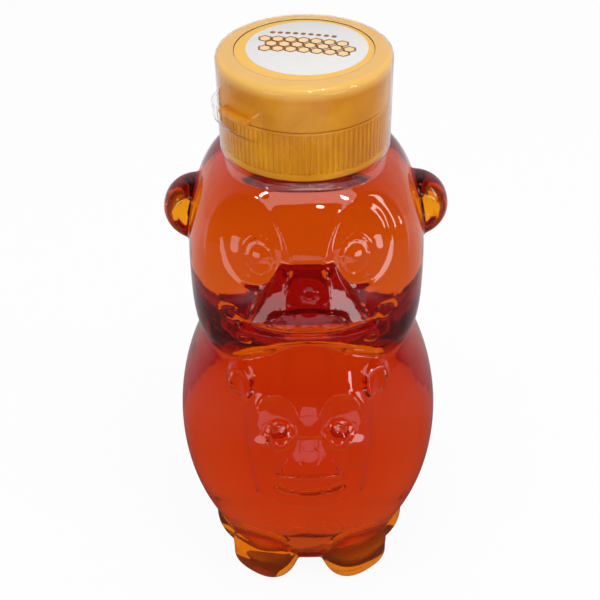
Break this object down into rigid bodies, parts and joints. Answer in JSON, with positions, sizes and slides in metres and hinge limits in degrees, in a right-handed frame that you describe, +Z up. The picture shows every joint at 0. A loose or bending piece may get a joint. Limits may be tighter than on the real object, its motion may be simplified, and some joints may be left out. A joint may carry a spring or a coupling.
{
  "type": "honey bear bottle",
  "caption": "Clear plastic bottle shaped as a sitting bear with ears, legs and a cub's face on its belly, full of honey, with a ribbed flip-top cap under clear shrink film.",
  "frame": {"origin": "centre of the bottle's foot print, on the surface it stands on, on the axis of the neck and cap", "axes": "+Z up along the bottle's axis, -Y the way the bear faces, +X to the right of someone looking at its face"},
  "size_m": [0.0776, 0.0733, 0.1685],
  "materials": {
    "clear_bottle": "clear blow-moulded PET, glossy",
    "honey": "clear dark amber liquid",
    "cap_plastic": "golden ochre moulded polypropylene, satin",
    "sticker_paper": "white coated paper, plain",
    "clear_film": "clear shrink film, glossy"
  },
  "bodies": {
    "root": {"bottle": "clear_bottle", "honey": "honey", "cap_base": "cap_plastic", "cap_lid": "cap_plastic", "cap_sticker": "sticker_paper", "shrink_film": "clear_film"}
  },
  "joints": []
}
